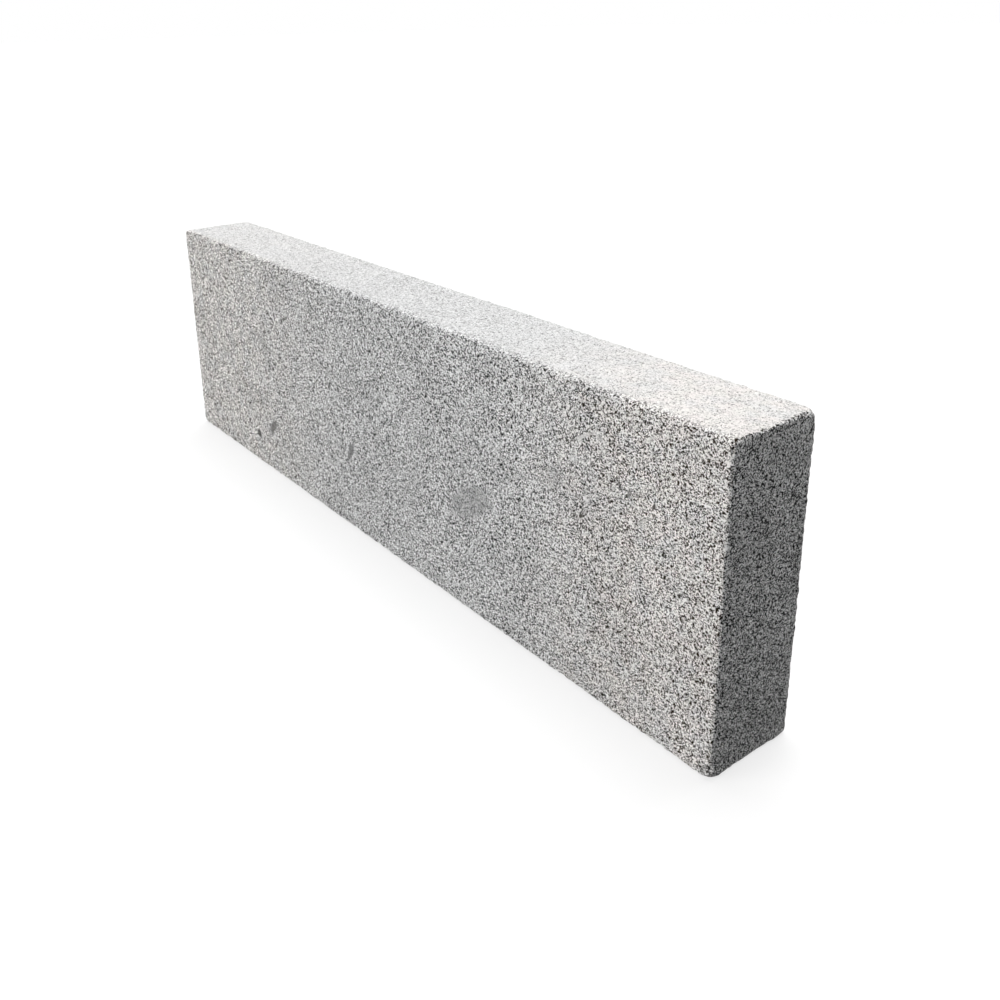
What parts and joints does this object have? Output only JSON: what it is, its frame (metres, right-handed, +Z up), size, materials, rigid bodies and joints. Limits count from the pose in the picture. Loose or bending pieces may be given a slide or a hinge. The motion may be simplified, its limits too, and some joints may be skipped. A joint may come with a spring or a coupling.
{
  "type": "granite kerb stone",
  "caption": "Straight rectangular granite kerb stone, textured all over, with eased arrises and worn corners. It edges a road, path or bed and is laid upright, end to end.",
  "frame": {"origin": "middle of the bed, the narrow face that the stone stands on", "axes": "+X along the kerb line, -Y out of the exposed face, +Y out of the back, +Z up"},
  "size_m": [1, 0.1, 0.3],
  "materials": {
    "granite": "matte"
  },
  "bodies": {
    "root": {"kerb_stone": "granite"}
  },
  "joints": []
}
